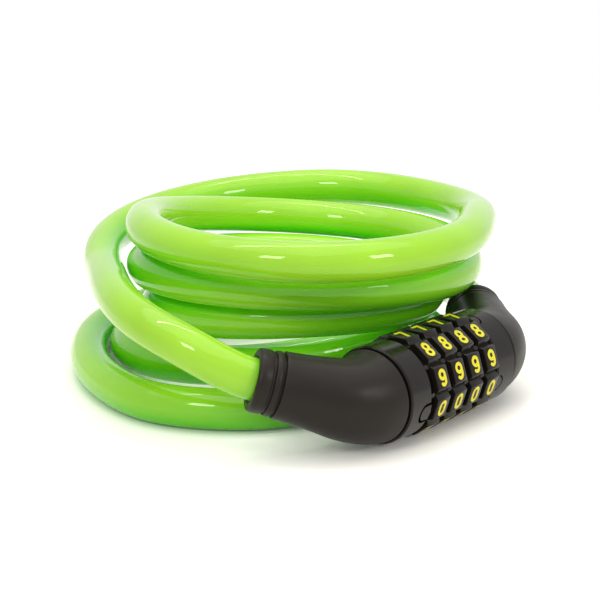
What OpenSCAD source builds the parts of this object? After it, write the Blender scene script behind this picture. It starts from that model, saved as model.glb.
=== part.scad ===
// Combination cable lock: a coiled steel cable in a soft jacket, closed by a four-dial lock.
// The lock's axis runs along X, the surface that it lies on is z = 0, and the origin is under the middle of the dials.

/* [Cable] */
// Outer diameter of the cable's jacket
cable_d = 11; // [10:0.5:12]
// Diameter of the steel strand inside the jacket
strand_d = 6; // [3:0.5:7]
// Sides of the jacket's cross-section
cable_sides = 12; // [6:1:12]
// Rings of the jacket's surface in one loop
rings_per_loop = 24; // [16:4:32]

/* [Dials] */
// Distance from one dial to the next
dial_pitch = 7.6; // [6.5:0.1:9]
// Play between neighbouring dials
dial_gap = 0.2; // [0.1:0.05:0.5]
// Height of a number's face above the axis
face_height = 13.4; // [12.4:0.1:15]
// Width of a number's face around the dial
face_width = 5.9; // [4.8:0.1:6.4]
// Radius at the bottom of the valley between two faces
valley_r = 12.3; // [11.6:0.1:12.5]
// Width of the low rim beside the faces
rim_width = 2; // [1:0.1:2.6]
// Bevel along the edges of a face
face_bevel = 0.3; // [0.1:0.05:0.6]
// Depth of the pocket in the rim beside each face
pocket_depth = 1.1; // [0.6:0.1:1.5]
// Width of the pocket around the dial, where it meets the dial's end
pocket_width = 7; // [6:0.1:7.2]

/* [Lock body] */
// Drop from the numbers' faces down to the two gloss rings
ring_drop = 0.4; // [0.2:0.1:1]
// Length of the ring on the plug's side
plug_ring_length = 8.5; // [8:0.1:12]
// Length of the reset ring
reset_ring_length = 8.5; // [6:0.1:10]
// Gap at the joints beside the rings
joint_gap = 0.3; // [0.1:0.05:0.6]
// Bevel at the ends of the rings
ring_bevel = 0.4; // [0.1:0.05:0.8]
// Width of the index tab
tab_width = 4.2; // [3:0.1:5]
// Length of the index tab
tab_length = 4; // [3:0.1:5]
// Gap around the index tab
tab_gap = 0.8; // [0.2:0.05:1]
// Length of the marks on the reset ring
mark_length = 2.6; // [2.2:0.1:3.5]
// Depth of the marks on the reset ring
mark_depth = 0.5; // [0.1:0.05:0.6]
// Width of the groove around each mark
mark_groove = 0.5; // [0.2:0.05:0.8]

/* [Elbows] */
// Drop from the gloss rings down to the elbows beside them
elbow_drop = 0.4; // [0:0.1:0.6]
// Radius of the collar that the cable enters
collar_r = 8.3; // [8.1:0.1:9]
// Angle that an elbow turns the cable from the lock's axis
elbow_angle = 45; // [30:1:60]
// Radius of an elbow's bend
elbow_bend_r = 14; // [14:1:30]
// Straight length of an elbow before the cable
elbow_straight = 21.5; // [16:0.5:24]
// Rise of the plug's elbow out of the level, turned about the lock's axis
plug_roll = 22.5; // [0:0.5:30]
// Rise of the barrel's elbow out of the level, turned about the lock's axis
barrel_roll = 12; // [0:1:30]
// Length of the collar's end band
collar_band = 3.6; // [2:0.1:5]
// Width of each groove in the collar
collar_groove = 0.7; // [0.4:0.1:1.2]
// Depth of each groove in the collar
collar_groove_depth = 0.6; // [0.2:0.1:0.9]
// Width of the band between the grooves
collar_middle = 1.7; // [1:0.1:3]
// Depth of the jacket's seat in the collar
seat_depth = 8; // [6:0.5:9]
// Play around the jacket in its seat
seat_play = 0.15; // [0.05:0.05:0.3]
// Wall of the ferrule on the end of the strand
ferrule_wall = 1.5; // [0.8:0.1:2]
// Length of the ferrule
ferrule_length = 7; // [4:0.5:8]
// Depth to which the lock pin and the core tube go into their elbows
root_depth = 9; // [7:0.5:10]
// Radius of the cross pins
cross_pin_r = 0.9; // [0.6:0.1:1.2]
// Length of the cross pins
cross_pin_length = 12; // [9:0.5:14]

/* [Mechanism] */
// Outer radius of the core tube
tube_r = 4.2; // [4:0.1:5]
// Radius of the lock pin
pin_r = 2.65; // [2:0.05:2.8]
// Radial play of the sliding and turning fits
fit_play = 0.08; // [0.03:0.01:0.1]
// Height of the pin's teeth above the axis
tooth_height = 5.35; // [5:0.05:5.6]
// Width of the pin's teeth
tooth_width = 2.2; // [1.6:0.1:2.6]
// Length of one tooth along the pin
tooth_length = 1.6; // [1:0.1:2]
// Play beside the teeth in their gates
gate_play = 0.2; // [0.1:0.05:0.4]
// Play of the locked pin along its axis
lock_play = 0.6; // [0.3:0.1:1.2]
// Radius of the code wheels
wheel_r = 7.5; // [7:0.1:8.5]
// Length of a code wheel's flange
flange_length = 2.4; // [1.8:0.1:3]
// Height of the splines that lock a dial to its code wheel
spline_height = 0.7; // [0.4:0.1:1]
// Width of the splines
spline_width = 1.2; // [0.8:0.1:1.8]
// Play around the splines
spline_play = 0.05; // [0.02:0.01:0.1]

/* [Hidden] */
dial_count = 4;

lime = [0.51, 0.86, 0.16];
matte_black = [0.17, 0.16, 0.16];
gloss_black = [0.07, 0.07, 0.07];
steel = [0.72, 0.73, 0.75];
brass = [0.78, 0.62, 0.3];

// ---- where things are along the axis ----
axis_z = face_height;
ring_r = face_height - ring_drop;
elbow_r = ring_r - elbow_drop;
numbers_per_dial = 10;
number_step = 360 / numbers_per_dial;
// the row that shows the code, counted from the row on top
index_row = 3;
index_angle = index_row * number_step;
dials_start = -dial_count * dial_pitch / 2;
dials_end = dials_start + dial_count * dial_pitch;
dial_width = dial_pitch - dial_gap;
plug_ring_end = dials_start - joint_gap / 2;
plug_ring_start = plug_ring_end - plug_ring_length;
plug_joint = plug_ring_start - joint_gap;
reset_ring_start = dials_end + joint_gap / 2;
reset_ring_end = reset_ring_start + reset_ring_length;
barrel_joint = reset_ring_end + joint_gap;

// places the lock's parts: local z runs along the lock's axis, local x points up, and local y points to the front
module along_axis(x = 0) {
    multmatrix([[0, 0, 1, x], [0, -1, 0, 0], [1, 0, 0, axis_z], [0, 0, 0, 1]]) children();
}

module ring_solid(r, length, bevel) {
    rotate_extrude($fn = 96)
        polygon([[0, 0], [r - bevel, 0], [r, bevel], [r, length - bevel], [r - bevel, length], [0, length]]);
}

// ---- skins over rings of points ----
function flat(list) = [for (l = list) for (p = l) p];

module skin(rings) {
    n = len(rings[0]);
    last = (len(rings) - 1) * n;
    sides = [for (i = [0:n:last - 1]) for (k = [0:n - 1]) let (a = i + k, b = i + (k + 1) % n)
        each [[a, b, b + n], [a, b + n, a + n]]];
    caps = [for (k = [1:n - 2]) each [[0, k + 1, k], [last, last + k, last + k + 1]]];
    polyhedron(points = flat(rings), faces = concat(sides, caps), convexity = 10);
}

function unit(v) = v / norm(v);

// a ring of points about a place on a route, square to its direction
function ring_at(p, t, r, n) =
    let (u = unit(cross(t, [0, 0, 1])), w = cross(u, t))
    [for (k = [0:n - 1]) let (a = 360 * (k + 0.5) / n) p + r * cos(a) * u + r * sin(a) * w];

// direction of a route at each of its points
function directions(route) = let (m = len(route) - 1)
    [for (i = [0:m]) unit(route[min(i + 1, m)] - route[max(i - 1, 0)])];

// ---- the elbows' centre lines ----
// side is -1 for the plug and 1 for the barrel
elbow_lead = 1;
elbow_arc = elbow_bend_r * elbow_angle * PI / 180;
elbow_length = elbow_lead + elbow_arc + elbow_straight;
elbow_steps = 12;

function joint_x(side) = side < 0 ? plug_joint : barrel_joint;
function elbow_roll(side) = side < 0 ? plug_roll : barrel_roll;

// the elbow's own plane turned to its place: a is along the axis away from the lock, b is sideways
function elbow_turn(side, a, b) = [side * a, b * cos(elbow_roll(side)), b * sin(elbow_roll(side))];

function elbow_point(side, s) =
    let (q = min(max(s - elbow_lead, 0), elbow_arc) / elbow_bend_r * 180 / PI,
        rest = max(s - elbow_lead - elbow_arc, 0),
        a = min(s, elbow_lead) + elbow_bend_r * sin(q) + rest * cos(q),
        b = elbow_bend_r * (1 - cos(q)) + rest * sin(q))
    [joint_x(side), 0, axis_z] + elbow_turn(side, a, b);

function elbow_direction(side, s) =
    let (q = min(max(s - elbow_lead, 0), elbow_arc) / elbow_bend_r * 180 / PI)
    elbow_turn(side, cos(q), sin(q));

// ---- the cable's route ----
cable_r = cable_d / 2;
strand_r = strand_d / 2;

// middle of the coil, and the angle at which its first loop starts
coil_centre = [17.9, 53.7];
coil_start = 129;
// radius and height of the loops' centre line at each quarter of a turn, down from the first loop
loop_r = [59.5, 79.5, 47.5, 57.5, 47.5, 62, 44, 43, 47.8, 53.5, 33.5, 34.5, 44, 41.5, 24.5, 27, 52.9, 54, 36];
loop_z = [31.5, 38.5, 44, 46.5, 44.5, 32, 31.5, 35.3, 32, 22.6, 23, 25.5, 20, 12, 13.5, 12, 8, 7, 5.5];
quarters = len(loop_r) - 1;
// quarter turns that rise or sink half-way along them, and by how much
bulges = [[1, -1.8], [5, 0.5], [8, -0.7]];

// smooth curve through a list of values, at the place u counted in values
function smooth(v, u) =
    let (m = len(v) - 1, i = min(floor(u), m - 1), t = u - i,
        b = v[i], c = v[i + 1],
        a = i > 0 ? v[i - 1] : 2 * b - c,
        d = i < m - 1 ? v[i + 2] : 2 * c - b)
    b + t / 2 * (c - a) + t * t * (a - 2.5 * b + 2 * c - d / 2) + t * t * t * (1.5 * b - a / 2 - 1.5 * c + d / 2);

// what the height gains at the place u: a bulge's whole rise half-way along its quarter, and nothing at its ends
function bulge(u) =
    let (risen = [for (b = bulges) if (u > b[0] && u < b[0] + 1)
        let (t = u - b[0]) b[1] * pow(4 * t * (1 - t), 2)])
    len(risen) > 0 ? risen[0] : 0;

function coil_point(u) =
    let (r = smooth(loop_r, u), a = coil_start - 90 * u)
    [coil_centre[0] + r * cos(a), coil_centre[1] + r * sin(a), smooth(loop_z, u) + bulge(u)];

coil_route = [for (i = [0:quarters * rings_per_loop / 4]) coil_point(i * 4 / rings_per_loop)];

// the free stretches: straight out of the collars, then along points chosen by hand
plug_points = [[-58.8, 31.2, 28.2], [-58.2, 48.8, 32.4], [-46.1, 69.4, 33.4]];
barrel_points = [[22.9, 20.2, 5.5], [9.9, 19.7, 5.5], [-3.6, 19.7, 5.5], [-20.1, 23.2, 5.5], [-36.2, 34.9, 5.5],
    [-45.6, 57.1, 5.5], [-39, 81.2, 5.5], [-23.1, 103.5, 5.5], [-0.3, 120.2, 5.5], [29.4, 126.7, 5.5],
    [56.9, 114.2, 6], [77, 92.2, 8.5], [81.6, 64.2, 13], [72.8, 40.4, 16]];
// longest step between the rings of a free stretch
lead_step = 13;
// straight run of the cable outside its collar
straight_run = cable_d - seat_depth;

function bend(a, b, c, d, t) =
    b + t / 2 * (c - a) + t * t * (a - 2.5 * b + 2 * c - d / 2) + t * t * t * (1.5 * b - a / 2 - 1.5 * c + d / 2);

// points along a smooth curve from the second to the last but one of the places it is given
function stretch(p) = [for (i = [1:len(p) - 3]) let (n = ceil(norm(p[i + 1] - p[i]) / lead_step))
    for (k = [0:n - 1]) bend(p[i - 1], p[i], p[i + 1], p[i + 2], k / n)];

function seat_point(side, out) = elbow_point(side, elbow_length) + out * elbow_direction(side, elbow_length);

plug_route = concat([seat_point(-1, -seat_depth), seat_point(-1, 0)],
    stretch(concat([seat_point(-1, -seat_depth), seat_point(-1, straight_run)], plug_points,
        [coil_route[0], coil_route[1]])));
barrel_route = concat(
    stretch(concat([coil_route[len(coil_route) - 2], coil_route[len(coil_route) - 1]], barrel_points,
        [seat_point(1, straight_run), seat_point(1, -seat_depth)])),
    [seat_point(1, straight_run), seat_point(1, 0), seat_point(1, -seat_depth)]);

route = concat(plug_route, [for (i = [0:len(coil_route) - 2]) coil_route[i]], barrel_route);
route_directions = directions(route);
coil_first = len(plug_route);
coil_last = coil_first + len(coil_route) - 1;
route_last = len(route) - 1;

// one unbroken tube over part of the route, its ends square to it
module jacket(first, last) {
    color(lime) skin([for (i = [first:last]) ring_at(route[i], route_directions[i], cable_r, cable_sides)]);
}

// least gap between turns, measured from each point of the route to each stretch of it that is not next to it
function to_segment(p, a, b) = let (t = min(max((p - a) * (b - a) / ((b - a) * (b - a)), 0), 1)) norm(p - a - t * (b - a));
neighbours = 5;
least_gap = min([for (i = [0:route_last - neighbours]) for (j = [i + neighbours:route_last - 1])
    to_segment(route[i], route[j], route[j + 1])]) - cable_d;
cable_length = [for (i = [0:route_last - 1]) norm(route[i + 1] - route[i])] * [for (i = [0:route_last - 1]) 1];
echo(least_gap_between_turns = least_gap, cable_length = cable_length);

module cable_coil() jacket(coil_first, coil_last);
module plug_lead() jacket(0, coil_first);
module barrel_lead() jacket(coil_last, route_last);

// ---- elbows ----
ferrule_r = strand_r + ferrule_wall;
elbow_sides = 36;
// the bands grow from the collar's end towards the body
collar_growth = 0.25;
collar_middle_r = collar_r + collar_growth;
collar_body_r = collar_middle_r + collar_growth;
// the collar's end is rounded over this length, down to its mouth
collar_edge = 1.4;
collar_edge_drop = 0.8;
// step beside the joint, which leaves a dark line around the lock
joint_step = 0.4;
joint_step_depth = 1;
grooves_end = elbow_length - collar_band - 2 * collar_groove - collar_middle;
collar_low = collar_r - collar_groove_depth;

function body_r(s) = collar_body_r + (elbow_r - collar_body_r) * pow(1 - s / grooves_end, 1.6);

elbow_profile = concat(
    [[0, elbow_r - joint_step_depth], [joint_step, elbow_r - joint_step_depth],
        [joint_step, body_r(joint_step) - joint_step / 2], [2 * joint_step, body_r(2 * joint_step)]],
    [for (k = [1:elbow_steps]) let (s = k * grooves_end / elbow_steps) [s, body_r(s)]],
    [[grooves_end, collar_low], [grooves_end + collar_groove, collar_low],
        [grooves_end + collar_groove, collar_middle_r],
        [grooves_end + collar_groove + collar_middle, collar_middle_r],
        [grooves_end + collar_groove + collar_middle, collar_low],
        [elbow_length - collar_band, collar_low], [elbow_length - collar_band, collar_r],
        [elbow_length - collar_edge, collar_r],
        [elbow_length - collar_edge / 4, collar_r - collar_edge_drop / 2],
        [elbow_length, collar_r - collar_edge_drop]]);

module elbow_body(side) {
    rings = [for (p = elbow_profile)
        ring_at(elbow_point(side, p[0]), elbow_direction(side, p[0]), p[1], elbow_sides)];
    skin(rings);
}

bore_r = cable_r + seat_play;
// flare of the collar's mouth around the jacket
mouth_width = 0.35;
mouth_length = 0.8;

// places a part along the cable's end, with local z running into the elbow from its mouth
module in_collar(side, depth = 0) {
    t = -elbow_direction(side, elbow_length);
    u = unit(cross(t, [0, 0, 1]));
    w = cross(t, u);
    p = seat_point(side, -depth);
    multmatrix([[u[0], w[0], t[0], p[0]], [u[1], w[1], t[1], p[1]], [u[2], w[2], t[2], p[2]], [0, 0, 0, 1]])
        children();
}

module collar_bores(side) {
    in_collar(side, -1) cylinder(r = bore_r, h = seat_depth + 1, $fn = 64);
    in_collar(side, -mouth_length)
        cylinder(r1 = bore_r + 2 * mouth_width, r2 = bore_r - mouth_width, h = 3 * mouth_length, $fn = 64);
    in_collar(side, seat_depth - 0.5) cylinder(r = ferrule_r, h = ferrule_length + 0.5, $fn = 48);
}

module ferrule(side) {
    color(steel) in_collar(side, seat_depth) difference() {
        cylinder(r = ferrule_r, h = ferrule_length, $fn = 48);
        translate([0, 0, -1]) cylinder(r = strand_r, h = ferrule_length + 2, $fn = 48);
    }
}

module strand(side) {
    color(steel) in_collar(side, seat_depth) cylinder(r = strand_r, h = ferrule_length, $fn = 48);
}

module plug_ferrule() ferrule(-1);
module barrel_ferrule() ferrule(1);
module plug_strand() strand(-1);
module barrel_strand() strand(1);

// the cross pins stand halfway along the roots of the lock pin and the core tube
cross_pin_depth = root_depth / 2;

module cross_pin(x) {
    translate([x, 0, axis_z - cross_pin_length / 2]) cylinder(r = cross_pin_r, h = cross_pin_length, $fn = 32);
}

plug_pin_x = plug_joint - cross_pin_depth;
barrel_pin_x = barrel_joint + cross_pin_depth;
module plug_cross_pin() color(steel) cross_pin(plug_pin_x);
module barrel_cross_pin() color(steel) cross_pin(barrel_pin_x);

module plug_elbow() {
    color(matte_black) difference() {
        elbow_body(-1);
        collar_bores(-1);
        along_axis(plug_joint - root_depth) cylinder(r = pin_r, h = root_depth + 1, $fn = 64);
        cross_pin(plug_pin_x);
    }
}

module barrel_elbow() {
    color(matte_black) difference() {
        elbow_body(1);
        collar_bores(1);
        along_axis(barrel_joint - 1) cylinder(r = tube_r, h = root_depth + 1, $fn = 64);
        cross_pin(barrel_pin_x);
    }
}

// ---- index tab and notches ----
// places a flat shape on the outside of the lock: local x runs along the axis, y up the dial and z outwards
module facing(angle, r, x) {
    s = sin(angle);
    c = cos(angle);
    along_axis() multmatrix([[0, s, c, r * c], [0, -c, s, r * s], [1, 0, 0, x], [0, 0, 0, 1]]) children();
}

// a tab that runs from the dials to a round end
module tab_shape(length, width, side) {
    straight = length - width / 2;
    translate([side * straight, 0]) circle(d = width, $fn = 48);
    translate([side < 0 ? -straight : 0, -width / 2]) square([straight, width]);
}

// ---- gloss rings ----
web_thickness = 2.6;
cap_r = ring_r - 2.1;
cap_clear = 0.2;
// height of the block that cuts the tab's notch and of the one that makes the tab, more than both need
tab_block = ring_drop + 4;
sleeve_depth = plug_ring_length - web_thickness;

module plug_ring() {
    color(gloss_black) difference() {
        along_axis(plug_ring_start) ring_solid(ring_r, plug_ring_length, ring_bevel);
        along_axis(plug_ring_start + web_thickness)
            cylinder(r = cap_r + fit_play, h = sleeve_depth + 1, $fn = 96);
        along_axis(plug_ring_start - 1) cylinder(r = pin_r, h = web_thickness + 2, $fn = 64);
        facing(index_angle, cap_r - 1, plug_ring_end)
            linear_extrude(tab_block) {
                tab_shape(tab_length + tab_gap, tab_width + 2 * tab_gap, -1);
                translate([-0.5, -tab_width / 2 - tab_gap]) square([1, tab_width + 2 * tab_gap]);
            }
    }
}

spring_room_r = 9;
reset_web = 2;

module reset_ring() {
    color(gloss_black) difference() {
        along_axis(reset_ring_start) ring_solid(ring_r, reset_ring_length, ring_bevel);
        along_axis(reset_ring_start - 1) cylinder(r = tube_r + fit_play, h = reset_ring_length + 2, $fn = 64);
        along_axis(reset_ring_start + reset_web)
            cylinder(r = spring_room_r, h = reset_ring_length, $fn = 64);
        for (a = [index_angle, index_angle - 90])
            facing(a, ring_r - mark_depth, reset_ring_start)
                linear_extrude(mark_depth + 2) difference() {
                    tab_shape(mark_length + mark_groove, tab_width + 2 * mark_groove, 1);
                    tab_shape(mark_length, tab_width, 1);
                }
    }
}

// ---- core: the slotted tube, its cap and the clip that holds the cap ----
clip_thickness = 0.8;
clip_r = tube_r + 1.2;
clip_seat_r = tube_r - 0.5;
// length of the core tube in front of its clip
tube_lip = 0.4;
cap_length = sleeve_depth - cap_clear - clip_thickness - tube_lip;
cap_start = plug_ring_end - cap_length;
clip_start = cap_start - clip_thickness;
tube_start = clip_start - tube_lip;
tube_end = barrel_joint + root_depth;
slot_width = tooth_width + 2 * gate_play;
// room over the teeth in the core cap and the code wheels
tooth_clear = 0.35;
tooth_room = tooth_height + tooth_clear;
// free run behind the last tooth, and how far the pin stops short of the bore's end
slot_run = 0.5;
pin_clear = 0.2;

// the way for the pin's teeth: a straight slot at the index angle
module tooth_slot(x, length) {
    facing(index_angle, 0, x) translate([0, -slot_width / 2, 0]) cube([length, slot_width, tooth_room]);
}

function tooth_x(i) = dials_start + i * dial_pitch + dial_gap / 2 + flange_length + lock_play;
slot_end = tooth_x(dial_count - 1) + tooth_length + slot_run;

module core_tube() {
    color(steel) difference() {
        along_axis(tube_start) cylinder(r = tube_r, h = tube_end - tube_start, $fn = 64);
        along_axis(tube_start - 1) cylinder(r = pin_r + fit_play, h = slot_end - tube_start + 1.5, $fn = 64);
        tooth_slot(tube_start - 1, slot_end - tube_start + 1);
        along_axis(clip_start) difference() {
            cylinder(r = tube_r + 1, h = clip_thickness, $fn = 64);
            translate([0, 0, -1]) cylinder(r = clip_seat_r, h = clip_thickness + 2, $fn = 64);
        }
        cross_pin(barrel_pin_x);
    }
}

module core_cap() {
    color(gloss_black) difference() {
        union() {
            along_axis(cap_start) ring_solid(cap_r, cap_length, 0.2);
            intersection() {
                facing(index_angle, cap_r - 1, plug_ring_end)
                    linear_extrude(tab_block) tab_shape(tab_length, tab_width, -1);
                along_axis(plug_ring_end - tab_length - 1) cylinder(r = ring_r, h = tab_length + 2, $fn = 96);
            }
        }
        along_axis(cap_start - 1) cylinder(r = tube_r, h = cap_length + 2, $fn = 64);
        tooth_slot(cap_start - 1, cap_length + 2);
    }
}

module circlip() {
    color(steel) difference() {
        along_axis(clip_start) cylinder(r = clip_r, h = clip_thickness, $fn = 64);
        along_axis(clip_start - 1) cylinder(r = clip_seat_r, h = clip_thickness + 2, $fn = 64);
        facing(index_angle, 0, clip_start - 1) translate([0, -slot_width / 2, 0])
            cube([clip_thickness + 2, slot_width, clip_r + 1]);
    }
}

// ---- clutch spring behind the dials ----
spring_wire_r = 0.5;
spring_r = 6;
spring_coils = 3;
spring_rings = 16;
spring_flat = spring_wire_r * cos(30);
spring_start = reset_ring_start + reset_web + spring_flat + 0.05;
spring_end = barrel_joint - spring_flat + 0.05;

module clutch_spring() {
    steps = spring_coils * spring_rings;
    places = [for (i = [0:steps]) let (a = 360 * i / spring_rings)
        [spring_start + (spring_end - spring_start) * i / steps, spring_r * cos(a), axis_z + spring_r * sin(a)]];
    ways = directions(places);
    color(steel) skin([for (i = [0:steps]) let (t = ways[i], u = unit(cross(t, [1, 0, 0])), w = cross(u, t))
        [for (k = [0:5]) places[i] + spring_wire_r * (cos(60 * k) * u + sin(60 * k) * w)]]);
}

// ---- lock pin ----
pin_end = slot_end - pin_clear;

module lock_pin() {
    color(steel) {
        difference() {
            union() {
                along_axis(plug_joint - root_depth) cylinder(r = pin_r, h = pin_end - plug_joint + root_depth, $fn = 64);
                for (i = [0:dial_count - 1])
                    intersection() {
                        facing(index_angle, 0, tooth_x(i)) translate([0, -tooth_width / 2, 0])
                            cube([tooth_length, tooth_width, tooth_height]);
                        along_axis(tooth_x(i)) cylinder(r = tooth_height, h = tooth_length, $fn = 96);
                    }
            }
            cross_pin(plug_pin_x);
        }
    }
}

// ---- dials ----
face_half_angle = atan(face_width / 2 / face_height);
face_corner_r = norm([face_width / 2, face_height]);
face_outline = [for (k = [0:numbers_per_dial - 1]) let (a = k * number_step)
    each [[a - face_half_angle, face_corner_r], [a + face_half_angle, face_corner_r], [a + number_step / 2, valley_r]]];

module splines(length, play = 0) {
    for (k = [0:numbers_per_dial - 1])
        rotate([0, 0, (k + 0.5) * number_step])
            translate([wheel_r - 1, -spline_width / 2 - play, 0])
                cube([spline_height + 1 + play, spline_width + 2 * play, length]);
}

wheel_play = 0.05;
rim_r = valley_r + 0.05;
// what stands between a pocket and the face beside it
pocket_ledge = 0.15;

// each pocket narrows from the dial's end to its face
module pockets() {
    near = pocket_width / 2;
    far = face_width / 2;
    reach = rim_width - pocket_ledge;
    for (k = [0:numbers_per_dial - 1])
        rotate([0, 0, k * number_step]) translate([rim_r - pocket_depth, 0, 0]) rotate([0, 90, 0])
            linear_extrude(pocket_depth + 1)
                polygon([[1, -near], [1, near], [0, near], [-reach, far], [-reach, -far], [0, -near]]);
}

module dial(i) {
    color(gloss_black) along_axis(dials_start + i * dial_pitch + dial_gap / 2) difference() {
        union() {
            cylinder(r = rim_r, h = dial_width, $fn = 80);
            intersection() {
                translate([0, 0, rim_width]) linear_extrude(dial_width - rim_width)
                    polygon([for (p = face_outline) [p[1] * cos(p[0]), p[1] * sin(p[0])]]);
                translate([0, 0, rim_width]) ring_solid(face_corner_r, dial_width - rim_width, face_bevel);
            }
        }
        translate([0, 0, -1]) cylinder(r = wheel_r + wheel_play, h = dial_width + 2, $fn = 80);
        translate([0, 0, -1]) splines(dial_width + 2, spline_play);
        pockets();
    }
}

module code_wheel(i) {
    color(brass) difference() {
        along_axis(dials_start + i * dial_pitch + dial_gap / 2) difference() {
            union() {
                cylinder(r = wheel_r, h = dial_width, $fn = 80);
                splines(dial_width);
            }
            translate([0, 0, -1]) cylinder(r = tube_r + fit_play, h = dial_width + 2, $fn = 64);
            translate([0, 0, flange_length]) cylinder(r = tooth_room, h = dial_width, $fn = 64);
        }
        tooth_slot(dials_start + i * dial_pitch, flange_length + 1);
    }
}

cable_coil();
plug_lead();
barrel_lead();
plug_elbow();
barrel_elbow();
plug_ring();
reset_ring();
core_tube();
core_cap();
circlip();
clutch_spring();
lock_pin();
plug_cross_pin();
barrel_cross_pin();
plug_ferrule();
barrel_ferrule();
plug_strand();
barrel_strand();
for (i = [0:dial_count - 1]) {
    dial(i);
    code_wheel(i);
}
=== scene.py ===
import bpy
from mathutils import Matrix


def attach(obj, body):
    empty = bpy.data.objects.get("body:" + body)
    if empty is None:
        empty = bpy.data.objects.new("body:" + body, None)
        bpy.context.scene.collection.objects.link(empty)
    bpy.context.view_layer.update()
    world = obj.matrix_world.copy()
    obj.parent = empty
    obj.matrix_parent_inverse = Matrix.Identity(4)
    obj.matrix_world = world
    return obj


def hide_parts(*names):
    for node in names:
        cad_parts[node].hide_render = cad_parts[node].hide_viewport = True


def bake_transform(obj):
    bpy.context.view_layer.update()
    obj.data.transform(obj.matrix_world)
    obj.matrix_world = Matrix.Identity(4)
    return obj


bl_info = {
    "name": "Combination Cable Lock",
    "version": (1, 0, 0),
    "blender": (4, 5, 0),
    "location": "View3D > Sidebar > Cable Lock",
    "description": "Dresses a four-dial cable lock: glossy coiled jacket, moulded end caps, number dials",
    "category": "Object",
}

import bpy
import numpy as np
from mathutils import Vector

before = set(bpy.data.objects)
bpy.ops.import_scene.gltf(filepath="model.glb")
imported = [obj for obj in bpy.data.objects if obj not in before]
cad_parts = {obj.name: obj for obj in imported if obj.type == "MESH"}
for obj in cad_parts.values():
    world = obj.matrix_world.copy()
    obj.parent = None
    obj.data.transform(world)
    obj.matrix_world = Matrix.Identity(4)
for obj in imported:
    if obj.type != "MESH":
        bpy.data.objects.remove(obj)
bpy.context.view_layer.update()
MM = 0.001

# ---- the lock's places, in millimetres and degrees ----
# RIM_DRAWN_IN is a share of a point's distance from the middle of its face.
JOINT_X = {"plug": -24.15, "barrel": 24.15}
NUMBER_COUNT = 10
NUMBER_STEP = 360.0 / NUMBER_COUNT
ROW_ON_TOP = 7
DIAL_COUNT = 4
DIAL_PITCH = 7.6
DIAL_GAP = 0.2
DIALS_START = -DIAL_COUNT * DIAL_PITCH / 2
DIAL_BORE_R = 7.6
DIAL_END_R = 11.4
FACE_HEIGHT = 13.4
AXIS_Z = FACE_HEIGHT
FACE_WIDTH = 5.9
FACE_CORNER = 0.25
FACE_CORNER_CUT = 0.05
FACE_EDGE = 0.3
FACE_EDGE_MIDDLE = 0.09
FACE_EDGE_SLOPE = 0.4
FLANK_START = 0.16
FLANK_STOP = 0.14
VALLEY_R = 12.3
VALLEY_RISE = 0.06
RIM_WIDTH = 2.0
RIM_RISE = 0.05
RIM_R = VALLEY_R + RIM_RISE
RIM_EDGE = 0.12
RIM_DRAWN_IN = 0.985
POCKET_DEPTH = 1.1
POCKET_WIDTH = 7.0
POCKET_LEDGE = 0.15

# ---- the painted numbers, in millimetres; a curve's step in degrees ----
# The paint stands PAINT_EDGE high at its edge, and rises by PAINT_RISE within PAINT_SLOPE of it.
NUMBER_CELL = 0.085
CURVE_STEP = 9.0
PAINT_EDGE = 0.012
PAINT_RISE = 0.05
PAINT_SLOPE = 0.12

# ---- the elbows, in millimetres and degrees ----
ELBOW_R = 12.6
COLLAR_R = 8.3
COLLAR_GROWTH = 0.25
ELBOW_ANGLE = 45.0
ELBOW_BEND_R = 14.0
ELBOW_LEAD = 1.0
ELBOW_STRAIGHT = 21.5
ELBOW_ARC = ELBOW_BEND_R * np.radians(ELBOW_ANGLE)
ELBOW_LENGTH = ELBOW_LEAD + ELBOW_ARC + ELBOW_STRAIGHT
ELBOW_ROLL = {"plug": 22.5, "barrel": 12.0}
SIDE = {"plug": -1, "barrel": 1}
COLLAR_BAND = 3.6
COLLAR_MIDDLE = 1.7
COLLAR_GROOVE = 0.7
COLLAR_GROOVE_DEPTH = 0.6
SEAT_DEPTH = 8.0
CABLE_D = 11.0
SEAT_R = 5.65

# ---- the end caps' profile, in millimetres ----
# An edge's pairs say how far along it each point lies, and how far under the full radius. The pairs of
# the seat's mouth say how far in from the rim each point lies, and how far outside the seat's radius.
CAP_SIDES = 128
CAP_RINGS = 70
CAP_BORE_RINGS = 24
CAP_BORE_R = 4.6
CAP_BORE_START = 0.5
CAP_BORE_STOP = 1.0
CAP_STEP = 1.0
CAP_EDGE = ((0.4, 0.5), (0.46, 0.34), (0.62, 0.2))
TAPER_START = 0.9
TAPER_STOP = 0.5
TAPER_POWER = 1.6
BODY_EDGE = ((0.25, 0.04), (0.08, 0.14), (0.0, 0.34))
MIDDLE_EDGE = ((0.3, 0.1), (0.08, 0.24), (0.0, 0.42))
BAND_EDGE = ((0.0, 0.35), (0.08, 0.14), (0.3, 0.0))
RIM_ROUND_LENGTH = 1.4
RIM_ROUND_DEPTH = 0.8
RIM_ROUND_ANGLE = 80.0
RIM_ROUND_POINTS = 9
SEAT_MOUTH = ((0.0, 0.7), (0.25, 0.45), (0.8, 0.0))

# ---- how finely the cable's line is worked out ----
# Points in a quarter turn and in a stretch of a lead, the share of a quarter turn between the knots that
# join a lead to the coil, and the width of the easing in rings
COIL_SAMPLES = 48
LEAD_SAMPLES = 120
KNOT_STEP = 1 / 6
EASE_RINGS = 2.0

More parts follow.
